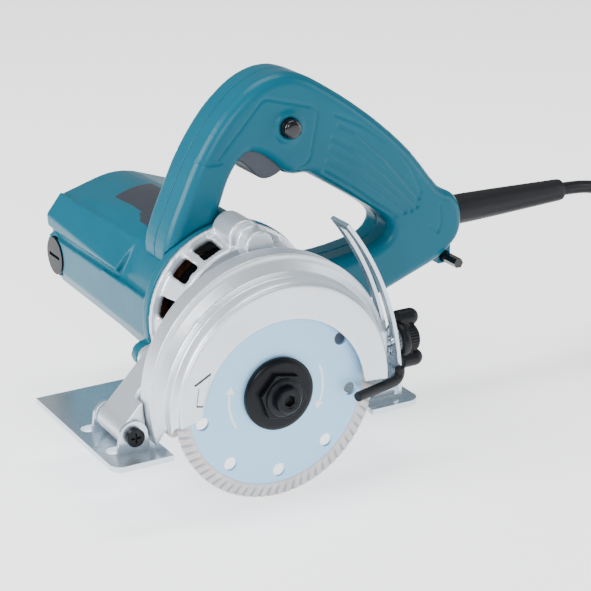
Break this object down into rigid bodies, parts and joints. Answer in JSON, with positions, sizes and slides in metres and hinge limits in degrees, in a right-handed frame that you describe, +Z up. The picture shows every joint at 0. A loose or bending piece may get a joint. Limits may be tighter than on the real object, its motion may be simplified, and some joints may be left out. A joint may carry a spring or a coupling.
{
  "type": "handheld stone saw",
  "caption": "Handheld corded stone and tile saw with a dry diamond blade, blade guard, hinged depth base and D-handle.",
  "frame": {"origin": "middle of the saw's box at the height of the blade's lowest point, without the lead and its plug", "axes": "+X along the cut, toward the cord; +Y along the motor, away from the blade; +Z up"},
  "size_m": [0.443, 0.27, 0.197],
  "materials": {
    "steel_core": "satin",
    "diamond_rim": "matt",
    "black_steel": "satin",
    "die_cast": "satin",
    "zinc_steel": "zinc plated",
    "ground_steel": "ground",
    "dark_steel": "black oxide",
    "teal_plastic": "satin",
    "black_plastic": "satin",
    "grey_plastic": "matt",
    "pale_plastic": "matt",
    "black_rubber": "matt",
    "laminations": "laminated",
    "copper_wire": "varnished",
    "brass": "bright",
    "carbon": "matt",
    "plate_film": "matt"
  },
  "bodies": {
    "saw": {"spindle_bearings": "ground_steel", "blade_guard": "die_cast", "guard_screws": "zinc_steel", "guard_stop": "pale_plastic", "gear_housing": "die_cast", "housing_screws": "zinc_steel", "motor_housing": "teal_plastic", "rating_plate": "plate_film", "armature_bearings": "ground_steel", "field_core": "laminations", "field_coils": "copper_wire", "brush_holders": "brass", "carbon_brushes": "carbon", "brush_caps": "black_plastic", "handle_near": "teal_plastic", "handle_far": "teal_plastic", "handle_screws": "zinc_steel", "switch_body": "grey_plastic", "trigger_pin": "ground_steel", "cord_clamp": "grey_plastic", "inner_lead": "black_rubber", "cord_guard": "black_rubber", "power_cord": "black_rubber", "cord_coil": "black_rubber", "coil_tie": "black_plastic", "plug_tail": "black_rubber", "plug_body": "black_rubber", "plug_pins": "brass", "knob_washer": "zinc_steel", "key_clip": "teal_plastic"},
    "blade_set": {"blade_core": "steel_core", "blade_rim": "diamond_rim", "inner_flange": "black_steel", "outer_flange": "black_steel", "flange_bolt": "dark_steel", "spindle": "ground_steel", "spindle_gear": "ground_steel"},
    "armature": {"armature_shaft": "ground_steel", "armature_core": "laminations", "armature_windings": "copper_wire", "commutator": "brass", "fan": "black_plastic"},
    "base": {"base_plate": "zinc_steel", "pivot_screws": "dark_steel", "depth_guide": "zinc_steel", "guide_rivets": "zinc_steel", "guide_rod": "ground_steel", "rod_sleeve": "black_rubber"},
    "clamp_knob": {"wing_knob": "black_plastic", "knob_stud": "zinc_steel"},
    "trigger": {"trigger": "grey_plastic"},
    "lock_button": {"lock_button": "black_plastic"},
    "hex_key": {"hex_key": "dark_steel"}
  },
  "joints": [
    {"name": "blade_spin", "type": "hinge", "parent": "saw", "child": "blade_set", "pos_m": [-0.0298, -0.0915, 0.055], "axis": [0, 1, 0], "continuous": true},
    {"name": "armature_spin", "type": "hinge", "parent": "saw", "child": "armature", "pos_m": [-0.0268, -0.0915, 0.0808], "axis": [0, 1, 0], "continuous": true},
    {"name": "base_depth", "type": "hinge", "parent": "saw", "child": "base", "pos_m": [-0.1018, -0.0655, 0.044], "axis": [0, 1, 0], "range_deg": [0, 26]},
    {"name": "clamp_turn", "type": "hinge", "parent": "saw", "child": "clamp_knob", "pos_m": [0.0502, -0.0815, 0.06348], "axis": [1, 0, 0], "range_deg": [0, 360]},
    {"name": "trigger_pull", "type": "hinge", "parent": "saw", "child": "trigger", "pos_m": [-0.0168, -0.0195, 0.159], "axis": [0, -1, 0], "range_deg": [0, 9], "stiffness_Nm_per_rad": 0.6, "springref_deg": -20.05},
    {"name": "lock_press", "type": "slide", "parent": "saw", "child": "lock_button", "axis": [0, 1, 0], "range_m": [0, 0.003], "stiffness_N_per_m": 400, "springref_m": -0.003},
    {"name": "key_slide", "type": "slide", "parent": "saw", "child": "hex_key", "axis": [0, 1, 0], "range_m": [0, 0.05]}
  ],
  "couplings": [
    {"joint": "armature_spin", "follows": "blade_spin", "ratio": -1.8889}
  ]
}
